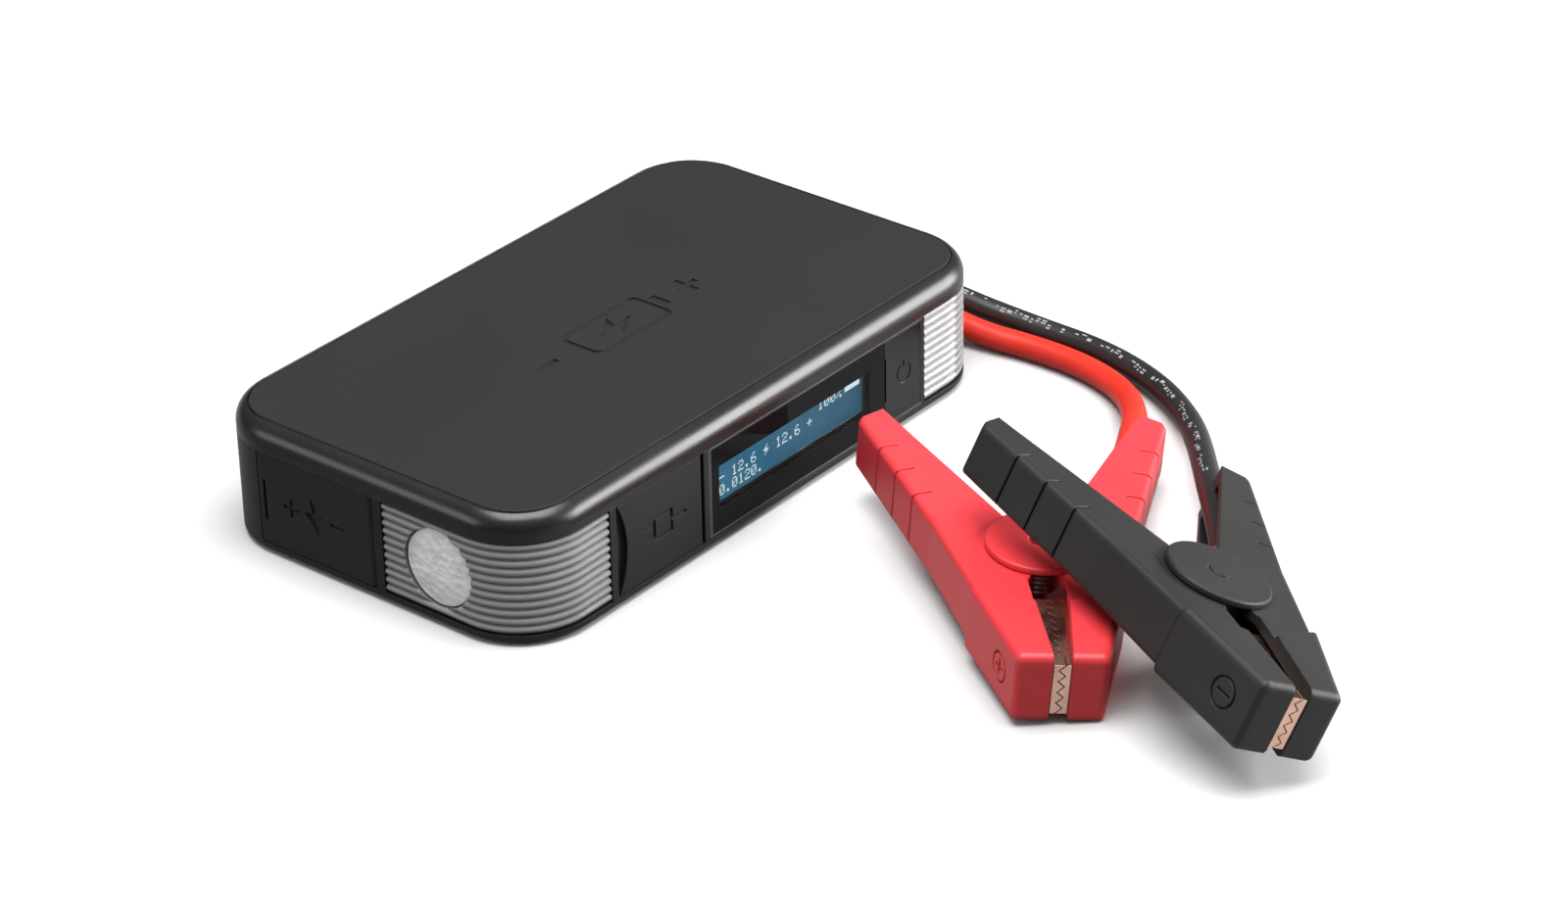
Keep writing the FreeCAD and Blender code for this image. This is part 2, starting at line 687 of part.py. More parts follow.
def battery_cells():
    solids = []
    for i in range(CELL_COUNT):
        z0 = cell_z(i)
        solids.append(rounded_box(CELL_X0, CELL_X1, CELL_Y0, CELL_Y1, z0, z0 + CELL_T, 2.5))
    return group(solids)


def cell_tabs():
    """Nickel strips that join the three cells in series, and the two end tabs."""
    z = [cell_z(i) + CELL_T / 2 for i in range(CELL_COUNT)]
    x = CELL_X1
    half_t = 0.1
    negative = box(x, x + 4, 14, 22, z[0] - half_t, z[0] + half_t)
    positive = box(x, x + 4, 27, 35, z[2] - half_t, z[2] + half_t)
    links = []
    for i, y0 in ((0, 27), (1, 2)):
        low = box(x, x + 2.0, y0, y0 + 8, z[i] - half_t, z[i] + half_t)
        high = box(x, x + 2.0, y0, y0 + 8, z[i + 1] - half_t, z[i + 1] + half_t)
        upright = box(x + 1.8, x + 2.0, y0, y0 + 8, z[i] - half_t, z[i + 1] + half_t)
        links.append(fuse([low, high, upright]))
    return group([negative, positive] + links)


def cell_pads():
    """Foam under and over the cell stack."""
    low = box(CELL_X0, CELL_X1, CELL_Y0, CELL_Y1, FLOOR_Z, CELL_BASE_Z - 0.05)
    top = cell_z(CELL_COUNT - 1) + CELL_T
    high = box(CELL_X0, CELL_X1, CELL_Y0, CELL_Y1, top + 0.05, CASE_H - ROOF_T)
    return group([low, high])


def socket_wires():
    """Heavy insulated wires from the cell tabs to the backs of the jump socket's pins."""
    low_row, high_row = contact_rows()
    back_x = CASE_L / 2 - 0.2 - 22 - 0.1
    low_z = cell_z(0) + CELL_T / 2
    high_z = cell_z(CELL_COUNT - 1) + CELL_T / 2
    negative = [(CELL_X1 + 3.6, 18.0, low_z), (CELL_X1 + 6.5, 15.0, low_z + 0.8),
                (back_x, low_row, SOCKET_Z)]
    positive = [(CELL_X1 + 3.6, 31.0, high_z), (CELL_X1 + 6.0, 28.5, 16.0), (back_x, high_row, SOCKET_Z)]
    return group([tube("negative wire", negative, 1.5), tube("positive wire", positive, 1.5)])


# ---------------------------------------------------------------- plug
def plug_housing():
    """Right-angle moulded plug: a nose into the socket and a body along the case's side."""
    face = CASE_L / 2 + GAP
    body = box(face, face + PLUG_L, SOCKET_Y - PLUG_W / 2, SOCKET_Y + PLUG_W / 2, PLUG_Z0, PLUG_Z1)
    outer = [e for e in body.Edges if e.BoundBox.XMin > face + 1 or e.BoundBox.XLength > 1]
    body = body.makeFillet(2.2, outer)
    half_y = CAVITY_W / 2 - GAP
    half_z = CAVITY_H / 2 - GAP
    nose = box(face - CAVITY_DEPTH + 0.5, face + 1, SOCKET_Y - half_y, SOCKET_Y + half_y,
               SOCKET_Z - half_z, SOCKET_Z + half_z)
    bores = [rod(SLEEVE_R, (face - CAVITY_DEPTH, y, SOCKET_Z), (face + 5, y, SOCKET_Z))
             for y in contact_rows()]
    return one_solid(cut(fuse([body, nose]), bores))


def plug_contacts():
    face = CASE_L / 2 + GAP
    start = face - CAVITY_DEPTH + 0.7
    solids = []
    for y in contact_rows():
        sleeve = rod(SLEEVE_R, (start, y, SOCKET_Z), (face + 5, y, SOCKET_Z))
        hole = rod(CONTACT_R + PIN_CLEAR, (start - 1, y, SOCKET_Z), (face + 3.5, y, SOCKET_Z))
        solids.append(sleeve.cut(hole))
    return group(solids)


def strain_relief(x):
    """Tapered, grooved boot round one lead where it leaves the plug."""
    y0 = SOCKET_Y - PLUG_W / 2
    y_end = -12.0
    boot = Part.makeCone(4.0, 3.3, y0 - y_end, Vec(x, y0, LEAD_Z), Vec(0, -1, 0))
    grooves = []
    for i in range(4):
        y = y0 - 2.5 - i * 2.6
        band = rod(6.0, (x, y, LEAD_Z), (x, y - 0.9, LEAD_Z))
        core = rod(CABLE_R + 0.15, (x, y + 1, LEAD_Z), (x, y - 2, LEAD_Z))
        grooves.append(band.cut(core))
    return one_solid(cut(boot, grooves))


def plug_strain_reliefs():
    return group([strain_relief(LEAD_X_RED), strain_relief(LEAD_X_BLACK)])


# ---------------------------------------------------------------- leads
def route_wire(name, route):
    """Straight runs joined by tangent arcs, each as large as its two runs allow."""
    points = [Vec(*p) for p in route]
    edges = []
    start = points[0]
    length = 0.0
    radii = []
    for before, here, after in zip(points, points[1:], points[2:]):
        run_in = here - before
        run_out = after - here
        turn = run_in.getAngle(run_out)
        cut_back = 0.45 * min(run_in.Length, run_out.Length)
        radius = cut_back / math.tan(turn / 2)
        radii.append(radius)
        into = here - Vec(run_in).normalize() * cut_back
        out = here + Vec(run_out).normalize() * cut_back
        to_centre = ((into + out) * 0.5 - here).normalize()
        middle = here + to_centre * (radius / math.cos(turn / 2) - radius)
        edges.append(Part.LineSegment(start, into).toShape())
        edges.append(Part.Arc(into, middle, out).toShape())
        length += (into - start).Length + radius * turn
        start = out
    edges.append(Part.LineSegment(start, points[-1]).toShape())
    length += (points[-1] - start).Length
    print(name, "length", round(length, 1), "smallest radius", round(min(radii), 1),
          "radii", [round(r, 1) for r in radii])
    return Part.Wire(edges), length


def tube(name, route, r):
    wire, length = route_wire(name, route)
    direction = Vec(*route[1]) - Vec(*route[0])
    circle = Part.Wire(Part.makeCircle(r, Vec(*route[0]), direction))
    shape = wire.makePipeShell([circle], True, False)
    expected = math.pi * r ** 2 * length
    print(name, "volume / expected", round(shape.Volume / expected, 4))
    return shape


# ---------------------------------------------------------------- clamps
def lever_outline():
    outer = [(TIP_U, TIP_V), (BEND_U, BEND_V), (STEP_U, STEP_V), (JAW_END, JAW_HALF)]
    mouth = [(JAW_END, JAW_GAP), (MOUTH_U, MOUTH_V), (13.0, 4.0), (10.0, 2.6)]
    return outer + mouth + [(-6.0, 2.2), (-10.5, 5.6), (TIP_IN_U, TIP_IN_V)]


def lever_thickness():
    """Side view of a lever as a slab across the whole width: thin at the tip, thick at the jaw."""
    upper = [(-60.0, TIP_HALF_T), (TIP_U, TIP_HALF_T), (BEND_U, BEND_HALF_T), (STEP_U, STEP_HALF_T),
             (JAW_END + 5, STEP_HALF_T)]
    lower = [(u, -n) for u, n in reversed(upper)]
    corners = [Vec(u, -5, n) for u, n in upper + lower]
    return Part.Face(Part.makePolygon(corners + corners[:1])).extrude(Vec(0, 45, 0))


def lever_body():
    block = prism(lever_outline(), -9, 9).common(lever_thickness())
    rim = []
    for edge in block.Edges:
        middle = edge.CenterOfMass
        outer_side = middle.y > 0.5 * (edge.BoundBox.YMax + edge.BoundBox.YMin) - 1
        on_outline = middle.y > 6.0 and distance_to_outer(middle.x, middle.y) < 0.3
        if outer_side and on_outline:
            rim.append(edge)
    return block.makeFillet(1.3, rim)


def distance_to_outer(u, v):
    outline = lever_outline()[:4]
    best = 1e9
    for (u0, v0), (u1, v1) in zip(outline, outline[1:]):
        span = math.hypot(u1 - u0, v1 - v0)
        across = abs((u - u0) * (v1 - v0) - (v - v0) * (u1 - u0)) / span
        along = ((u - u0) * (u1 - u0) + (v - v0) * (v1 - v0)) / span
        if -0.5 < along < span + 0.5:
            best = min(best, across)
    return best


def jaw_panel():
    """Raised pad over the jaw end, standing proud of the lever by PANEL_RAISE."""
    rise = PANEL_RAISE
    outline = [(STEP_U, STEP_V + rise), (JAW_END + rise, JAW_HALF + rise), (JAW_END + rise, JAW_GAP),
               (MOUTH_U, MOUTH_V)]
    block = prism(outline, -PANEL_HALF_T, PANEL_HALF_T)
    rim = [e for e in block.Edges if e.CenterOfMass.y > 6.0 or e.CenterOfMass.x > JAW_END + rise - 0.01]
    rim = [e for e in rim if abs(e.CenterOfMass.y - JAW_GAP) > 0.5]
    block = block.makeFillet(PANEL_ROUND, [e for e in rim if e.CenterOfMass.x > STEP_U + 5])
    rear = [e for e in block.Edges if e.CenterOfMass.x < STEP_U + 5 and e.CenterOfMass.y > 4.0]
    return block.makeFillet(PANEL_REAR_ROUND, rear)


def panel_groove():
    """Thin channel round the lever, close behind the jaw pad's rear edge."""
    width = 0.6
    depth = 0.5
    lean = (MOUTH_U - STEP_U) / (STEP_V + PANEL_RAISE - MOUTH_V)
    top_v = STEP_V + PANEL_RAISE + 1.0
    low_v = MOUTH_V - 1.0
    top_u = STEP_U - lean
    low_u = MOUTH_U + lean
    strip = prism([(top_u - width, top_v), (top_u, top_v), (low_u, low_v), (low_u - width, low_v)], -9, 9)
    core_half = STEP_HALF_T - depth
    return strip.cut(box(STEP_U - 5, MOUTH_U + 5, 0, STEP_V - depth, -core_half, core_half))


def lever_cavity():
    wall = CLAMP_WALL + 0.2
    outline = [(TIP_U + 2.2, TIP_V - 3.0), (BEND_U, BEND_V - wall), (STEP_U, STEP_V - wall),
               (JAW_END - 1.6, JAW_HALF - 1.4), (JAW_END - 1.6, -2.0), (-3.0, -2.0), (-12.0, 2.0),
               (TIP_IN_U + 5.5, TIP_IN_V - 8.0)]
    half = TIP_HALF_T - CLAMP_WALL + 0.5
    return prism(outline, -half, half)


def grip_grooves():
    """Three finger grooves across the outer face, hooked a little way over each flat face."""
    slope = math.degrees(math.atan2(BEND_V - TIP_V, BEND_U - TIP_U))
    tools = []
    for share in (0.29, 0.52, 0.75):
        u = TIP_U + share * (BEND_U - TIP_U)
        v = TIP_V + share * (BEND_V - TIP_V)
        side = box(-0.3, 0.3, -0.8, 2, -10, 10)
        face_n = TIP_HALF_T - 0.35
        hooks = [box(-0.3, 0.3, -4.2, 1, n0, n1) for n0, n1 in ((face_n, 9), (-9, -face_n))]
        tool = group([side] + hooks)
        tool.rotate(Vec(0, 0, 0), Z_AXIS, slope)
        tool.translate(Vec(u, v, 0))
        tools.append(tool)
    return tools


def polarity_badge(positive):
    """Ring with a plus or a minus, sunk into the outer face near the jaw's end."""
    slope = math.degrees(math.atan2(JAW_HALF - STEP_V, JAW_END - STEP_U))
    depth = 0.45
    circle = ring(3.4, 2.9, -depth, 1)
    bar = box(-1.9, 1.9, -0.3, 0.3, -depth, 1)
    shapes = [circle, bar]
    if positive:
        shapes.append(box(-0.3, 0.3, 0.3, 1.9, -depth, 1))
        shapes.append(box(-0.3, 0.3, -1.9, -0.3, -depth, 1))
    badge = group(shapes)
    badge.rotate(Vec(0, 0, 0), Vec(1, 0, 0), -90)
    badge.rotate(Vec(0, 0, 0), Z_AXIS, slope)
    share = 0.72
    u = STEP_U + share * (JAW_END - STEP_U)
    v = STEP_V + PANEL_RAISE + share * (JAW_HALF - STEP_V)
    badge.translate(Vec(u, v, 0))
    return badge


def ear_levels(outer):
    if outer:
        return [(4.95, 6.75), (-6.75, -4.95)]
    return [(3.0, 4.75), (-4.75, -3.0)]


def lever(outer_ears, positive):
    """One lever cover on the +Y side: hollow body, jaw pad, pivot ears, grooves and badge."""
    body = fuse([lever_body(), jaw_panel()]).cut(lever_cavity())
    body = body.cut(rod(EAR_R + EAR_CLEAR, (0, 0, -DISC_Z0), (0, 0, DISC_Z0)))
    ears = []
    for n0, n1 in ear_levels(outer_ears):
        disc = rod(EAR_R, (0, 0, n0), (0, 0, n1))
        bridge = box(-5.5, 5.5, 0, 12.0, n0, n1)
        ears.append(disc.fuse(bridge).removeSplitter())
    body = fuse([body] + ears)
    body = body.cut(rod(RIVET_R + PIN_CLEAR, (0, 0, -10), (0, 0, 10)))
    return one_solid(cut(body, grip_grooves() + [panel_groove(), polarity_badge(positive)]))


def flipped(shape):
    return shape.mirror(Vec(0, 0, 0), Vec(0, 1, 0))


def tooth_line(start, end, pitch, height):
    """Triangle wave about zero from start to end, as (position, offset) points."""
    count = int(round((end - start) / (pitch / 2)))
    points = []
    for i in range(count + 1):
        points.append((start + (end - start) * i / count, height if i % 2 else -height))
    return points


def copper_jaw(with_strap):
    """Toothed copper strip on the +Y side: a U section along the jaw and a plate across its end.

    The teeth run along the U section's two edges and down the end plate, and mesh with the other
    jaw's at v = 0.
    """
    start = 15.5
    plate = JAW_END - 2.4
    end = JAW_END + PANEL_RAISE - 0.3
    clear = 0.16
    half = JAW_HALF_T
    height = TOOTH_H if with_strap else -TOOTH_H
    edge = [(u, d + clear) for u, d in tooth_line(start, plate, TOOTH_PITCH, height)]
    section = prism(edge + [(plate, 4.2), (30.0, 6.2), (start, 6.2)], -half, half)
    hollow = prism([(start - 1, -3), (plate + 1, -3), (plate + 1, 3.0), (30.0, 5.0), (start - 1, 5.0)],
                   -half + 0.9, half - 0.9)
    section = section.cut(hollow)
    tall = END_PLATE_HALF_T
    rim = [Vec(plate - 0.5, d + clear, n) for n, d in tooth_line(-tall, tall, TOOTH_PITCH, height)]
    rim += [Vec(plate - 0.5, 1.75, tall), Vec(plate - 0.5, 1.75, -tall)]
    plate_face = Part.Face(Part.makePolygon(rim + rim[:1]))
    end_plate = plate_face.extrude(Vec(end - plate + 0.5, 0, 0))
    web = box(plate - 1.0, JAW_END - 1.8, 1.2, 3.9, -half, half)
    section = section.cut(box(plate - 0.5, plate + 1, -3, 1.2, -half - 1, half + 1))
    jaw = fuse([section, web, end_plate])
    if not with_strap:
        return one_solid(jaw)
    strap = prism([(-16.0, 20.4), (BEND_U, 18.6), (STEP_U, 12.4), (19.0, 6.2), (19.0, 5.0), (17.6, 5.0),
                   (15.0, 11.4), (BEND_U, 17.4), (-16.0, 19.2)], -2.5, 2.5)
    return one_solid(jaw.fuse(strap).removeSplitter())


def pivot_discs():
    """Round caps over the pivot on both faces, each with a crescent mark."""
    solids = []
    for sign in (1, -1):
        disc = rod(DISC_R, (0, 0, sign * DISC_Z0), (0, 0, sign * DISC_Z1))
        disc = disc.makeFillet(0.5, edges_at(disc, sign * DISC_Z1))
        crescent = rod(2.6, (0, 0, sign * (DISC_Z1 - 0.3)), (0, 0, sign * (DISC_Z1 + 1)))
        crescent = crescent.cut(rod(2.6, (-0.9, 0.9, -20), (-0.9, 0.9, 20)))
        solids.append(disc.cut(crescent))
    return group(solids)


def pivot_pin():
    return rod(RIVET_R, (0, 0, -DISC_Z0), (0, 0, DISC_Z0))


def clamp_spring():
    """Torsion spring: turns of wire round the pivot and a leg inside each lever."""
    wire = 0.55
    turn_r = 4.2
    turns = [Part.makeTorus(turn_r, wire, Vec(0, 0, n)) for n in (-1.8, -0.6, 0.6, 1.8)]
    legs = []
    for side, n in ((1, 1.8), (-1, -1.8)):
        legs.append(rod(wire, (0, side * turn_r, n), (-15.0, side * 10.5, n)))
    return group([fuse([turns[0], legs[1]]), turns[1], turns[2], fuse([turns[3], legs[0]])])


def placed(shape, colour):
    pose = CLAMPS[colour]
    rotation = FreeCAD.Rotation(pose["yaw"], pose["pitch"], pose["roll"])
    shape = shape.copy()
    shape.Placement = FreeCAD.Placement(Vec(*pose["at"]), rotation).multiply(shape.Placement)
    return shape


def lead_crimp(route):
    """Crimped copper sleeve that the lead's end sits against inside lever B."""
    end = Vec(*route[-1])
    back = (end - Vec(*route[-2])).normalize()
    sleeve = Part.makeCylinder(CABLE_R + 0.1, 6.0, end, back)
    return sleeve


# ---------------------------------------------------------------- export
def lever_with_lead(colour, positive):
    """Lever B with a clear passage for its lead through the open side and the tip's end."""
    route = RED_ROUTE if positive else BLACK_ROUTE
    passage = tube(colour + " passage", route[-4:], CABLE_R + 0.3)
    return one_solid(placed(lever(False, positive), colour).cut(passage))


def clamp_nodes(colour):
    positive = colour == "red"
    return {
        colour + "_lever_a": placed(flipped(lever(True, positive)), colour),
        colour + "_lever_b": lever_with_lead(colour, positive),
        colour + "_jaw_a": placed(flipped(copper_jaw(False)), colour),
        colour + "_jaw_b": placed(copper_jaw(True), colour),
        colour + "_pivot_pin": placed(pivot_pin(), colour),
        colour + "_pivot_discs": placed(pivot_discs(), colour),
        colour + "_spring": placed(clamp_spring(), colour),
    }


def build():
    nodes = {
        "top_shell": top_shell(),
        "top_plate": top_plate(),
        "bottom_shell": bottom_shell(),
        "base_mat": base_mat(),
        "case_screws": case_screws(),
        "hinge_pins": hinge_pins(),
        "light_lens_front": light_lens_front(),
        "light_lens_rear": light_lens_rear(),
        "lamp_reflector_front": lamp_reflector(True),
        "lamp_reflector_rear": mirrored(lamp_reflector(False)),
        "lamp_leds_front": lamp_leds(True),
        "lamp_leds_rear": mirrored(lamp_leds(False)),
        "torch_lens": torch_lens(),
        "torch_reflector": torch_reflector(),
        "torch_led": torch_led(),
        "usb_flap": usb_flap(),
        "aux_flap": aux_flap(),
        "display_bezel": display_bezel(),
        "display_window": display_window(),
        "lcd_module": lcd_module(),
        "lcd_glass": lcd_glass(),
        "power_button": power_button(),
        "button_switch": button_switch(),
        "usb_a_sockets": usb_a_sockets(),
        "usb_c_socket": usb_c_socket(),
        "power_sockets": power_sockets(),
        "jump_socket": jump_socket(),
        "jump_socket_pins": jump_socket_pins(),
        "main_board": main_board(),
        "board_components": board_components(),
        "battery_cells": battery_cells(),
        "cell_tabs": cell_tabs(),
        "cell_pads": cell_pads(),
        "socket_wires": socket_wires(),
        "plug_housing": plug_housing(),
        "plug_contacts": plug_contacts(),
        "plug_strain_reliefs": plug_strain_reliefs(),
        "red_cable": tube("red_cable", RED_ROUTE, CABLE_R),
        "black_cable": tube("black_cable", BLACK_ROUTE, CABLE_R),
        "lead_crimps": group([lead_crimp(RED_ROUTE), lead_crimp(BLACK_ROUTE)]),
    }
    nodes.update(clamp_nodes("red"))
    nodes.update(clamp_nodes("black"))
    os.makedirs("parts", exist_ok=True)
    for name, shape in nodes.items():
        shape.exportStep("parts/" + name + ".step")
        bounds = shape.BoundBox
        state = "valid" if shape.isValid() else "INVALID"
        print(name, state, len(shape.Solids), "solids, volume", round(shape.Volume, 1),
              "z", round(bounds.ZMin, 2), round(bounds.ZMax, 2))


build()
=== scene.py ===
import math
import random

import bpy
from mathutils import Matrix, Vector


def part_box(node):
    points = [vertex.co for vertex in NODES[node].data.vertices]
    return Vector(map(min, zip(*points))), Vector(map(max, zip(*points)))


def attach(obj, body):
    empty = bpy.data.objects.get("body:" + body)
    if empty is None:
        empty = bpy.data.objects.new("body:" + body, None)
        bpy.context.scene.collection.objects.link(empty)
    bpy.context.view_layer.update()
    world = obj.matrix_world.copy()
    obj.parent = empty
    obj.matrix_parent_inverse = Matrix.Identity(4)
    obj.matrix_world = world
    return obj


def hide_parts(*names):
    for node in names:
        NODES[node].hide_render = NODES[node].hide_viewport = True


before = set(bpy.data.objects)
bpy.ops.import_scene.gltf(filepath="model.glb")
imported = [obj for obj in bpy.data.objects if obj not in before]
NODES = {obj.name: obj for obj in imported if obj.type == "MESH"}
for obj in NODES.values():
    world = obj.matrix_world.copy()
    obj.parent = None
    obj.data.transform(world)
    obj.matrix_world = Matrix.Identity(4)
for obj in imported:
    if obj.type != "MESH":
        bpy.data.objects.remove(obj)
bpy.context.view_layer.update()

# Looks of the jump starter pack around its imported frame. Everything is in metres.

MM = 0.001

# ---- camera ----
AIM = (0.0187, -0.0337, 0.0013)
AIM_DISTANCE = 1.027
CAMERA_AZIMUTH = -50.85
CAMERA_ELEVATION = 29.6
CAMERA_ROLL = -1.1
LENS_MM = 106.57
SENSOR_MM = 36.0

# ---- floor ----
FLOOR_SHOWN = 0.74
FLOOR_BOUNCE = 0.14
# Floor colour seen in reflections on its +X side: a painted brighter reflection.
FLOOR_MIRRORED = 0.38
FLOOR_HALF = 4.0

# ---- light ----
WORLD_LOW = 0.04
WORLD_HIGH = 0.42
LIGHT_TARGET = (0, -0.06, 0.02)
# name, azimuth and elevation in degrees, distance, width and height, watts
SOFTBOXES = [
    ("overhead", -40, 84, 1.3, 1.2, 0.95, 26),
    ("right", 47, 15, 1.3, 1.1, 0.75, 32),
    ("left", -125, 18, 1.4, 0.8, 0.5, 3),
]

# ---- display ----
DISPLAY_DOT = 0.36 * MM
DOT_FILL = 0.88

# ---- leads ----
CABLE_DIAMETER = 0.0058
RED_ROUTE = [
    (0.0863, -0.0120, 0.0072),
    (0.0862, -0.0240, 0.0058),
    (0.0866, -0.0375, 0.0034),
    (0.0889, -0.0520, 0.0031),
    (0.0884, -0.0670, 0.0031),
    (0.0834, -0.0805, 0.0034),
    (0.0725, -0.0908, 0.0058),
    (0.0588, -0.0988, 0.0088),
    (0.0444, -0.1064, 0.0100),
    (0.0320, -0.1122, 0.0098),
]
BLACK_ROUTE = [
    (0.0943, -0.0120, 0.0072),
    (0.0943, -0.0260, 0.0056),
    (0.0969, -0.0445, 0.0031),
    (0.0968, -0.0660, 0.0031),
    (0.0910, -0.0850, 0.0031),
    (0.0810, -0.0995, 0.0036),
    (0.0698, -0.1096, 0.0060),
    (0.0570, -0.1198, 0.0090),
    (0.0440, -0.1306, 0.0106),
    (0.0324, -0.1402, 0.0118),
    (0.0245, -0.1462, 0.0126),
]

# ---- ticks printed on the black lead ----
TICKS_START = 0.012
TICKS_END = 0.128
TICK_LIFT = 0.00004
TICK_SUNK = 0.0001
TICK_LENGTHS = (0.0006, 0.0009, 0.0013)
TICK_GAPS = (0.0005, 0.0007, 0.0007, 0.0030)
TICK_LOWS = (-0.30, -0.10, 0.0)
TICK_HEIGHTS = (0.14, 0.30, 0.42)
TICK_TURN = 0.35

# Corners of each face of a block, whose first four vertices are its lower side.
BLOCK_FACES = ((3, 2, 1, 0), (4, 5, 6, 7), (0, 1, 5, 4), (1, 2, 6, 5), (2, 3, 7, 6), (3, 0, 4, 7))


# ---------------------------------------------------------------- camera, stage and lights
def direction(azimuth, elevation):
    """Unit vector from the object towards a viewer at that azimuth and elevation, in degrees."""
    a = math.radians(azimuth)
    e = math.radians(elevation)
    return Vector((math.sin(a) * math.cos(e), -math.cos(a) * math.cos(e), math.sin(e)))


def make_camera():
    data = bpy.data.cameras.new("camera")
    data.lens = LENS_MM
    data.sensor_width = SENSOR_MM
    data.clip_start = 0.01
    data.clip_end = 50.0
    camera = bpy.data.objects.new("camera", data)
    bpy.context.scene.collection.objects.link(camera)
    back = direction(CAMERA_AZIMUTH, CAMERA_ELEVATION)
    camera.location = Vector(AIM) + back * AIM_DISTANCE
    facing = (-back).to_track_quat("-Z", "Y").to_matrix().to_4x4()
    roll = Matrix.Rotation(math.radians(CAMERA_ROLL), 4, "Z")
    camera.rotation_euler = (facing @ roll).to_euler()
    bpy.context.scene.camera = camera


def make_floor():
    """White sheet that throws back less light than it shows, and whose colour in reflections is painted
    brighter on its +X side.
    """
    mesh = bpy.data.meshes.new("floor")
    corners = [(x * FLOOR_HALF, y * FLOOR_HALF, 0) for x, y in ((-1, -1), (1, -1), (1, 1), (-1, 1))]
    mesh.from_pydata(corners, [], [(0, 1, 2, 3)])
    floor = bpy.data.objects.new("floor", mesh)
    bpy.context.scene.collection.objects.link(floor)
    material, tree, shader = new_material("floor")
    light_path = tree.nodes.new("ShaderNodeLightPath")
    axes = components(tree, object_coordinates(tree))
    # Painted reflection: on its +X side, reflections see the floor's colour raised from FLOOR_BOUNCE to
    # FLOOR_MIRRORED.
    painted_lit_side = remap(tree, axes["X"], -0.12, -0.03, 0.0, 1.0)
    mirrored = mix_colour(tree, painted_lit_side, (FLOOR_BOUNCE,) * 3, (FLOOR_MIRRORED,) * 3)
    thrown = mix_colour(tree, light_path.outputs["Is Glossy Ray"], (FLOOR_BOUNCE,) * 3, mirrored)
    shown = mix_colour(tree, light_path.outputs["Is Camera Ray"], thrown, (FLOOR_SHOWN,) * 3)
    tree.links.new(shown, shader.inputs["Base Color"])
    shader.inputs["Roughness"].default_value = 0.9
    shader.inputs["Specular IOR Level"].default_value = 0.0
    mesh.materials.append(material)


def softbox(name, azimuth, elevation, distance, width, height, watts):
    data = bpy.data.lights.new(name, "AREA")
    data.shape = "RECTANGLE"
    data.size = width
    data.size_y = height
    data.energy = watts
    light = bpy.data.objects.new(name, data)
    bpy.context.scene.collection.objects.link(light)
    back = direction(azimuth, elevation)
    light.location = Vector(LIGHT_TARGET) + back * distance
    light.rotation_euler = (-back).to_track_quat("-Z", "Y").to_euler()


def make_light():
    world = bpy.data.worlds.new("world")
    bpy.context.scene.world = world
    world.use_nodes = True
    tree = world.node_tree
    background = tree.nodes["Background"]
    axes = components(tree, tree.nodes.new("ShaderNodeTexCoord").outputs["Generated"])
    height = remap(tree, axes["Z"], 0.0, 1.0, 0.0, 1.0)
    sky = mix_colour(tree, height, (WORLD_LOW,) * 3, (WORLD_HIGH,) * 3)
    tree.links.new(sky, background.inputs["Color"])
    background.inputs["Strength"].default_value = 1.0
    for values in SOFTBOXES:
        softbox(*values)
    bpy.context.scene.view_settings.view_transform = "Standard"


# ---------------------------------------------------------------- material helpers
def new_material(name):
    material = bpy.data.materials.new(name)
    material.use_nodes = True
    tree = material.node_tree
    tree.nodes.clear()
    output = tree.nodes.new("ShaderNodeOutputMaterial")
    shader = tree.nodes.new("ShaderNodeBsdfPrincipled")
    tree.links.new(shader.outputs["BSDF"], output.inputs["Surface"])
    return material, tree, shader


def object_coordinates(tree):
    return tree.nodes.new("ShaderNodeTexCoord").outputs["Object"]


def components(tree, vector):
    """Sockets of a vector's X, Y and Z."""
    node = tree.nodes.new("ShaderNodeSeparateXYZ")
    tree.links.new(vector, node.inputs[0])
    return node.outputs


def noise(tree, coordinates, size, detail=2.0):
    """Noise whose features are about size metres across."""
    node = tree.nodes.new("ShaderNodeTexNoise")
    node.inputs["Scale"].default_value = 1.0 / size
    node.inputs["Detail"].default_value = detail
    tree.links.new(coordinates, node.inputs["Vector"])
    return node.outputs["Fac"]


def remap(tree, value, low, high, to_low, to_high):
    node = tree.nodes.new("ShaderNodeMapRange")
    node.inputs["From Min"].default_value = low
    node.inputs["From Max"].default_value = high
    node.inputs["To Min"].default_value = to_low
    node.inputs["To Max"].default_value = to_high
    tree.links.new(value, node.inputs["Value"])
    return node.outputs["Result"]


def math_node(tree, operation, a, b):
    node = tree.nodes.new("ShaderNodeMath")
    node.operation = operation
    for socket, value in zip(node.inputs, (a, b)):
        if isinstance(value, (int, float)):
            socket.default_value = value
        else:
            tree.links.new(value, socket)
    return node.outputs[0]


def mix_colour(tree, share, first, second):
    node = tree.nodes.new("ShaderNodeMix")
    node.data_type = "RGBA"
    tree.links.new(share, node.inputs["Factor"])
    for socket, value in ((node.inputs[6], first), (node.inputs[7], second)):
        if isinstance(value, tuple):
            socket.default_value = (*value, 1)
        else:
            tree.links.new(value, socket)
    return node.outputs[2]


def soft_edges(tree, radius):
    node = tree.nodes.new("ShaderNodeBevel")
    node.samples = 4
    node.inputs["Radius"].default_value = radius
    return node.outputs["Normal"]


def edge_mask(tree, rounded, low, high):
    """0 on flat faces, 1 where the softened normal leaves the true one."""
    geometry = tree.nodes.new("ShaderNodeNewGeometry")
    node = tree.nodes.new("ShaderNodeVectorMath")
    node.operation = "DOT_PRODUCT"
    tree.links.new(rounded, node.inputs[0])
    tree.links.new(geometry.outputs["Normal"], node.inputs[1])
    return remap(tree, node.outputs["Value"], high, low, 0, 1)


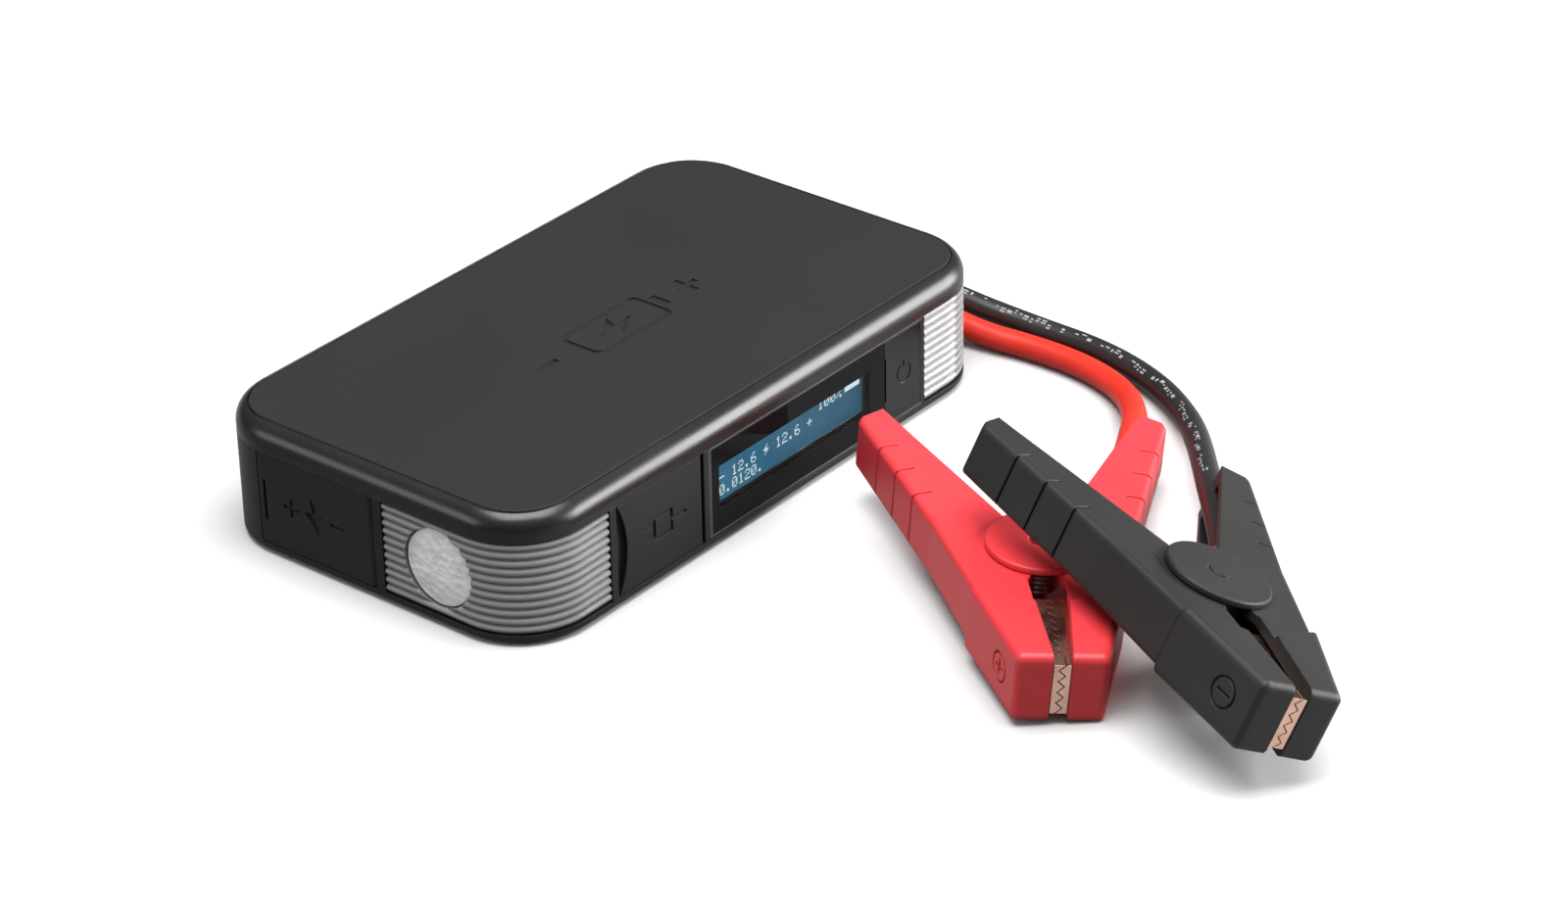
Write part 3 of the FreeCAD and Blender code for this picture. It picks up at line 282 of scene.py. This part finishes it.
def bump(tree, height, depth, normal):
    node = tree.nodes.new("ShaderNodeBump")
    node.inputs["Strength"].default_value = 1.0
    node.inputs["Distance"].default_value = depth
    tree.links.new(height, node.inputs["Height"])
    tree.links.new(normal, node.inputs["Normal"])
    return node.outputs["Normal"]


def moulded(name, colour, roughness, specular=0.5, grain=0.25, depth=0.006, edge=0.3, worn=1.5,
            patch=30, swing=0.15):
    """Moulded plastic or rubber: fine grain, uneven gloss, softened and slightly worn edges. Sizes in mm."""
    material, tree, shader = new_material(name)
    place = object_coordinates(tree)
    broad = noise(tree, place, patch * MM, 3)
    fine = noise(tree, place, grain * MM, 2)
    normal = soft_edges(tree, edge * MM)
    edges = edge_mask(tree, normal, 0.90, 0.995)
    dark = tuple(c * (1 - swing) for c in colour)
    light = tuple(min(1, c * (1 + swing)) for c in colour)
    base = mix_colour(tree, remap(tree, broad, 0.3, 0.7, 0, 1), dark, light)
    wear = tuple(min(1, c * worn + 0.004) for c in colour)
    share = math_node(tree, "MULTIPLY", edges, remap(tree, fine, 0.35, 0.65, 0.1, 0.6))
    tree.links.new(mix_colour(tree, share, base, wear), shader.inputs["Base Color"])
    rough = math_node(tree, "ADD", remap(tree, broad, 0.3, 0.7, roughness - 0.04, roughness + 0.04),
                      remap(tree, fine, 0.3, 0.7, -0.03, 0.03))
    tree.links.new(rough, shader.inputs["Roughness"])
    tree.links.new(bump(tree, fine, depth * MM, normal), shader.inputs["Normal"])
    shader.inputs["Specular IOR Level"].default_value = specular
    return material


def metal(name, colour, roughness, grain=0.4, depth=0.004, tarnish=0.2, edge=0.12):
    """Bare or plated metal with drawn marks and an uneven tarnish."""
    material, tree, shader = new_material(name)
    place = object_coordinates(tree)
    broad = noise(tree, place, 6 * MM, 4)
    fine = noise(tree, place, grain * MM, 3)
    dull = tuple(c * (1 - tarnish) * (1 - 0.3 * i * tarnish) for i, c in enumerate(colour))
    base = mix_colour(tree, remap(tree, broad, 0.35, 0.65, 0, 1), colour, dull)
    tree.links.new(base, shader.inputs["Base Color"])
    rough = math_node(tree, "ADD", remap(tree, broad, 0.3, 0.7, roughness - 0.05, roughness + 0.08),
                      remap(tree, fine, 0.3, 0.7, -0.04, 0.04))
    tree.links.new(rough, shader.inputs["Roughness"])
    tree.links.new(bump(tree, fine, depth * MM, soft_edges(tree, edge * MM)), shader.inputs["Normal"])
    shader.inputs["Metallic"].default_value = 1.0
    return material


def clear(name, colour, roughness, transmission, hollow, ior=1.49, frost=0.2, depth=0.003, edge=0.15):
    """Clear or milky moulded plastic with faint flow marks, and with painted shade that darkens it in hollows
    up to hollow mm wide.
    """
    material, tree, shader = new_material(name)
    place = object_coordinates(tree)
    broad = noise(tree, place, 8 * MM, 3)
    fine = noise(tree, place, frost * MM, 2)
    base = mix_colour(tree, remap(tree, broad, 0.3, 0.7, 0, 1), colour, tuple(c * 0.94 for c in colour))
    # Painted shade: where ambient occlusion finds a hollow, such as between the lens ribs, the colour drops
    # to 0.12 of itself.
    shade = tree.nodes.new("ShaderNodeAmbientOcclusion")
    shade.samples = 6
    shade.inputs["Distance"].default_value = hollow * MM
    open_share = remap(tree, shade.outputs["AO"], 0.5, 0.97, 0.0, 1.0)
    base = mix_colour(tree, open_share, tuple(c * 0.12 for c in colour), base)
    tree.links.new(base, shader.inputs["Base Color"])
    tree.links.new(remap(tree, broad, 0.3, 0.7, roughness * 0.8, roughness * 1.2), shader.inputs["Roughness"])
    tree.links.new(bump(tree, fine, depth * MM, soft_edges(tree, edge * MM)), shader.inputs["Normal"])
    shader.inputs["Transmission Weight"].default_value = transmission
    shader.inputs["IOR"].default_value = ior
    return material


def assign(material, *names):
    for name in names:
        piece = NODES[name]
        if not piece.material_slots:
            piece.data.materials.append(material)
        for place in piece.material_slots:
            place.link = "OBJECT"
            place.material = material


# ---------------------------------------------------------------- mesh helpers
def new_piece(name, vertices, faces, material, body):
    mesh = bpy.data.meshes.new(name)
    mesh.from_pydata([tuple(v) for v in vertices], [], faces)
    mesh.validate()
    mesh.materials.append(material)
    for polygon in mesh.polygons:
        polygon.use_smooth = False
    piece = bpy.data.objects.new(name, mesh)
    bpy.context.scene.collection.objects.link(piece)
    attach(piece, body)
    return piece


def add_block(vertices, faces, low, high):
    """Adds a closed block between two corners to the lists."""
    start = len(vertices)
    for z in (low[2], high[2]):
        vertices += [(low[0], low[1], z), (high[0], low[1], z), (high[0], high[1], z), (low[0], high[1], z)]
    add_block_faces(faces, start)


def add_block_faces(faces, start):
    """Adds the faces of the block whose eight vertices begin at start."""
    for face in BLOCK_FACES:
        faces.append(tuple(start + corner for corner in face))


# ---------------------------------------------------------------- leads
def lead(name, route, material):
    curve = bpy.data.curves.new(name, "CURVE")
    curve.dimensions = "3D"
    spline = curve.splines.new("NURBS")
    spline.points.add(len(route) - 1)
    for point, place in zip(spline.points, route):
        point.co = (*place, 1.0)
    spline.order_u = 3
    spline.use_endpoint_u = True
    spline.resolution_u = 24
    curve.resolution_u = 24
    curve.bevel_depth = CABLE_DIAMETER / 2
    curve.bevel_resolution = 10
    curve.use_fill_caps = True
    curve.materials.append(material)
    piece = bpy.data.objects.new(name, curve)
    bpy.context.scene.collection.objects.link(piece)
    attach(piece, "lead_set")
    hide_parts(name.replace("_lead", "_cable"))
    return piece


def centre_line(piece):
    """Points along a lead's own spline, from a copy of its curve with no bevel."""
    bare = piece.copy()
    bare.data = piece.data.copy()
    bare.data.bevel_depth = 0
    mesh = bpy.data.meshes.new_from_object(bare)
    points = [v.co.copy() for v in mesh.vertices]
    bpy.data.meshes.remove(mesh)
    curve = bare.data
    bpy.data.objects.remove(bare)
    bpy.data.curves.remove(curve)
    return points


def make_leads():
    red_rubber = moulded("cable_red", (0.78, 0.028, 0.012), 0.42, grain=0.5, depth=0.01, patch=20, swing=0.06)
    black_rubber = moulded("cable_black", (0.016, 0.015, 0.015), 0.4, grain=0.5, depth=0.01, patch=20)
    red = lead("red_lead", RED_ROUTE, red_rubber)
    black = lead("black_lead", BLACK_ROUTE, black_rubber)
    marks = lead_marks(black)


def lead_marks(piece):
    """Pale wordless ticks printed along the upper side of the black lead."""
    draw = random.Random(7)
    points = centre_line(piece)
    distance = [0.0]
    for a, b in zip(points, points[1:]):
        distance.append(distance[-1] + (b - a).length)
    radius = CABLE_DIAMETER / 2 + TICK_LIFT
    vertices = []
    faces = []
    up = Vector((0.0, 0.0, 1.0))

    def on_surface(along, angle, lift):
        i = max(k for k, d in enumerate(distance[:-1]) if d <= along)
        share = (along - distance[i]) / (distance[i + 1] - distance[i])
        centre = points[i].lerp(points[i + 1], share)
        forward = (points[i + 1] - points[i]).normalized()
        side = forward.cross(up).normalized()
        top = side.cross(forward)
        out = side * math.sin(angle) + top * math.cos(angle)
        return centre + out * (radius + lift)

    along = TICKS_START
    while along < TICKS_END:
        length = draw.choice(TICK_LENGTHS)
        low = draw.choice(TICK_LOWS) + TICK_TURN
        high = low + draw.choice(TICK_HEIGHTS)
        start = len(vertices)
        for lift in (-TICK_SUNK, 0.0):
            for a, r in ((along, low), (along + length, low), (along + length, high), (along, high)):
                vertices.append(on_surface(a, r, lift))
        add_block_faces(faces, start)
        along += length + draw.choice(TICK_GAPS)
    ink = moulded("cable_ink", (0.32, 0.33, 0.33), 0.6, grain=0.3, depth=0.002, swing=0.3)
    return new_piece("black_lead_marks", vertices, faces, ink, "lead_set")


# ---------------------------------------------------------------- display
DIGITS = {
    "0": ("01110", "10001", "10011", "10101", "11001", "10001", "01110"),
    "1": ("00100", "01100", "00100", "00100", "00100", "00100", "01110"),
    "2": ("01110", "10001", "00001", "00110", "01000", "10000", "11111"),
    "6": ("00110", "01000", "10000", "11110", "10001", "10001", "01110"),
    ".": ("00000", "00000", "00000", "00000", "00000", "01100", "01100"),
    "%": ("11000", "11001", "00010", "00100", "01000", "10011", "00011"),
    "+": ("00000", "00100", "00100", "11111", "00100", "00100", "00000"),
    "-": ("00000", "00000", "00000", "11111", "00000", "00000", "00000"),
    "^": ("00010", "00100", "01100", "11111", "00110", "00100", "01000"),
    "#": ("11111", "11111", "11111", "11111", "11111", "11111", "11111"),
    " ": ("00000",) * 7,
}


def make_display_dots():
    """Numbers, a bolt and a charge bar as square dots standing on the display's glass."""
    low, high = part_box("lcd_glass")
    front = low.y - 0.02 * MM
    back = low.y + 0.05 * MM
    vertices = []
    faces = []

    def text(words, left, top):
        for k, letter in enumerate(words):
            for row, line in enumerate(DIGITS[letter]):
                for column, lit in enumerate(line):
                    if lit == "1":
                        x = left + (k * 6 + column) * DISPLAY_DOT
                        z = top - row * DISPLAY_DOT
                        side = DISPLAY_DOT * DOT_FILL
                        add_block(vertices, faces, (x, front, z - side), (x + side, back, z))

    text("100%", high.x - 15.5 * MM, high.z - 1.0 * MM)
    text("- 12.6 ^ 12.6 +", low.x + 2.4 * MM, low.z + 6.6 * MM)
    text("0.0120.", low.x + 2.4 * MM, low.z + 3.5 * MM)
    x1 = high.x - 0.9 * MM
    z1 = high.z - 0.8 * MM
    add_block(vertices, faces, (x1 - 5.2 * MM, front, z1 - 2.2 * MM), (x1, back, z1))
    material, tree, shader = new_material("display_dots")
    place = object_coordinates(tree)
    glow = mix_colour(tree, noise(tree, place, 0.6 * MM), (0.55, 0.74, 0.80), (0.72, 0.88, 0.92))
    tree.links.new(glow, shader.inputs["Emission Color"])
    shader.inputs["Emission Strength"].default_value = 0.9
    shader.inputs["Base Color"].default_value = (0.1, 0.1, 0.1, 1)
    new_piece("display_dots", vertices, faces, material, "case")


def display_material():
    """Lit blue glass: lighter to the left, with a faint dot grid."""
    low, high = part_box("lcd_glass")
    material, tree, shader = new_material("lcd_blue")
    place = object_coordinates(tree)
    axes = components(tree, place)
    across = remap(tree, axes["X"], low.x, high.x, 0, 1)
    glow = mix_colour(tree, across, (0.020, 0.135, 0.225), (0.008, 0.066, 0.120))
    cells = tree.nodes.new("ShaderNodeTexChecker")
    cells.inputs["Scale"].default_value = 1 / DISPLAY_DOT
    tree.links.new(place, cells.inputs["Vector"])
    grid = mix_colour(tree, remap(tree, cells.outputs["Fac"], 0, 1, 0.0, 0.12), glow, (0.0, 0.02, 0.05))
    tree.links.new(grid, shader.inputs["Emission Color"])
    shader.inputs["Emission Strength"].default_value = 1.0
    shader.inputs["Base Color"].default_value = (0.005, 0.015, 0.025, 1)
    shader.inputs["Roughness"].default_value = 0.2
    shader.inputs["Specular IOR Level"].default_value = 0.1
    return material


def window_material():
    """Gloss black sheet, clear over the display and printed black round it."""
    low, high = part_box("lcd_glass")
    material, tree, shader = new_material("window_black")
    place = object_coordinates(tree)
    axes = components(tree, place)
    inside = None
    for axis, a, b in (("X", low.x, high.x), ("Z", low.z, high.z)):
        for operation, limit in (("GREATER_THAN", a), ("LESS_THAN", b)):
            test = math_node(tree, operation, axes[axis], limit)
            inside = test if inside is None else math_node(tree, "MULTIPLY", inside, test)
    tree.links.new(inside, shader.inputs["Transmission Weight"])
    base = mix_colour(tree, inside, (0.006, 0.006, 0.007), (0.93, 0.96, 0.97))
    tree.links.new(base, shader.inputs["Base Color"])
    smears = noise(tree, place, 9 * MM, 4)
    tree.links.new(remap(tree, smears, 0.35, 0.7, 0.03, 0.09), shader.inputs["Roughness"])
    tree.links.new(bump(tree, smears, 0.002 * MM, soft_edges(tree, 0.15 * MM)), shader.inputs["Normal"])
    shader.inputs["IOR"].default_value = 1.18
    return material


def torch_material():
    """Milky clear disc with small moulded facets that glint, brightened by a faint painted white glow."""
    material, tree, shader = new_material("torch_clear")
    place = object_coordinates(tree)
    facets = tree.nodes.new("ShaderNodeTexVoronoi")
    facets.inputs["Scale"].default_value = 1 / (1.7 * MM)
    tree.links.new(place, facets.inputs["Vector"])
    broad = noise(tree, place, 5 * MM, 3)
    base = mix_colour(tree, remap(tree, broad, 0.35, 0.65, 0, 1), (0.95, 0.95, 0.96), (0.74, 0.74, 0.75))
    tree.links.new(base, shader.inputs["Base Color"])
    tree.links.new(remap(tree, broad, 0.3, 0.7, 0.10, 0.22), shader.inputs["Roughness"])
    normal = bump(tree, facets.outputs["Distance"], 0.4 * MM, soft_edges(tree, 0.3 * MM))
    tree.links.new(normal, shader.inputs["Normal"])
    shader.inputs["Transmission Weight"].default_value = 0.35
    shader.inputs["IOR"].default_value = 1.49
    # Painted light: a faint white emission makes the milky disc look brighter.
    shader.inputs["Emission Color"].default_value = (0.9, 0.9, 0.92, 1)
    shader.inputs["Emission Strength"].default_value = 0.09
    return material


# ---------------------------------------------------------------- materials of the CAD nodes
def paint_case():
    rim = moulded("shell_rim", (0.008, 0.008, 0.0083), 0.29, specular=0.6, grain=0.22, depth=0.002, patch=45,
                  edge=0.3)
    assign(rim, "top_shell")
    shell = moulded("shell_black", (0.010, 0.010, 0.0105), 0.38, specular=0.35, grain=0.22, depth=0.004,
                    patch=45, edge=0.3)
    assign(shell, "bottom_shell")
    plate = moulded("plate_grey", (0.021, 0.0206, 0.0198), 0.6, specular=0.18, grain=0.16, depth=0.006,
                    patch=60, swing=0.05, edge=0.25)
    assign(plate, "top_plate")
    assign(moulded("mat_rubber", (0.018, 0.018, 0.018), 0.75, grain=0.5, depth=0.02), "base_mat")
    flap = moulded("flap_black", (0.013, 0.013, 0.0135), 0.44, specular=0.32, grain=0.2, depth=0.005,
                   edge=0.25)
    assign(flap, "usb_flap", "aux_flap")
    assign(moulded("bezel_grey", (0.05, 0.05, 0.052), 0.25, specular=0.5, edge=0.2), "display_bezel")
    assign(moulded("button_black", (0.008, 0.008, 0.0085), 0.16, specular=0.4, edge=0.2), "power_button")
    assign(window_material(), "display_window")
    assign(display_material(), "lcd_glass")


def paint_lights():
    ribs = clear("lens_clear", (0.56, 0.565, 0.57), 0.13, transmission=0.40, hollow=1.2)
    assign(ribs, "light_lens_front", "light_lens_rear")
    assign(moulded("reflector_white", (0.82, 0.83, 0.84), 0.3, swing=0.04), "lamp_reflector_front",
           "lamp_reflector_rear")
    led_board = moulded("led_board", (0.75, 0.72, 0.5), 0.4, swing=0.1)
    assign(led_board, "lamp_leds_front", "lamp_leds_rear", "torch_led")
    assign(torch_material(), "torch_lens")
    assign(metal("reflector_silver", (0.92, 0.92, 0.93), 0.12, grain=1.2, depth=0.03, tarnish=0.04),
           "torch_reflector")


def paint_inside():
    steel = metal("steel", (0.56, 0.56, 0.58), 0.3)
    assign(steel, "case_screws", "hinge_pins")
    assign(steel, "red_spring", "black_spring", "red_pivot_pin", "black_pivot_pin")
    assign(metal("lcd_frame", (0.1, 0.1, 0.11), 0.4), "lcd_module")
    plated = metal("connector_metal", (0.68, 0.68, 0.69), 0.24)
    assign(plated, "usb_a_sockets", "usb_c_socket", "power_sockets")
    black = moulded("connector_black", (0.015, 0.015, 0.015), 0.45)
    assign(black, "jump_socket", "button_switch")
    assign(metal("contact_gold", (0.83, 0.62, 0.28), 0.25), "jump_socket_pins", "plug_contacts")
    assign(moulded("board_green", (0.01, 0.12, 0.05), 0.4, grain=1.5, depth=0.02), "main_board")
    assign(moulded("components", (0.03, 0.03, 0.032), 0.5), "board_components")
    assign(metal("cell_silver", (0.66, 0.66, 0.68), 0.35, grain=3, depth=0.1), "battery_cells")
    assign(metal("nickel", (0.72, 0.70, 0.66), 0.28), "cell_tabs")
    assign(moulded("foam", (0.05, 0.05, 0.05), 0.9, grain=0.8, depth=0.1), "cell_pads")
    assign(moulded("wire_black", (0.02, 0.02, 0.02), 0.5), "socket_wires")


def paint_leads():
    blue = moulded("plug_blue", (0.010, 0.016, 0.055), 0.42, grain=0.3, depth=0.01)
    assign(blue, "plug_housing")
    assign(moulded("relief_black", (0.016, 0.016, 0.016), 0.5), "plug_strain_reliefs")
    copper = metal("copper", (0.86, 0.56, 0.45), 0.24, grain=0.3, depth=0.002, tarnish=0.15)
    assign(copper, "red_jaw_a", "red_jaw_b", "black_jaw_a", "black_jaw_b", "lead_crimps")
    red = moulded("clamp_red", (0.74, 0.042, 0.052), 0.40, specular=0.5, grain=0.3, depth=0.010, edge=0.6,
                  worn=1.15, swing=0.05, patch=25)
    assign(red, "red_lever_a", "red_lever_b", "red_pivot_discs")
    dark = moulded("clamp_black", (0.018, 0.018, 0.0175), 0.48, specular=0.42, grain=0.3, depth=0.010,
                   edge=0.6, worn=1.3, swing=0.08, patch=25)
    assign(dark, "black_lever_a", "black_lever_b", "black_pivot_discs")


make_camera()
make_leads()
make_floor()
make_light()
make_display_dots()
paint_case()
paint_lights()
paint_inside()
paint_leads()
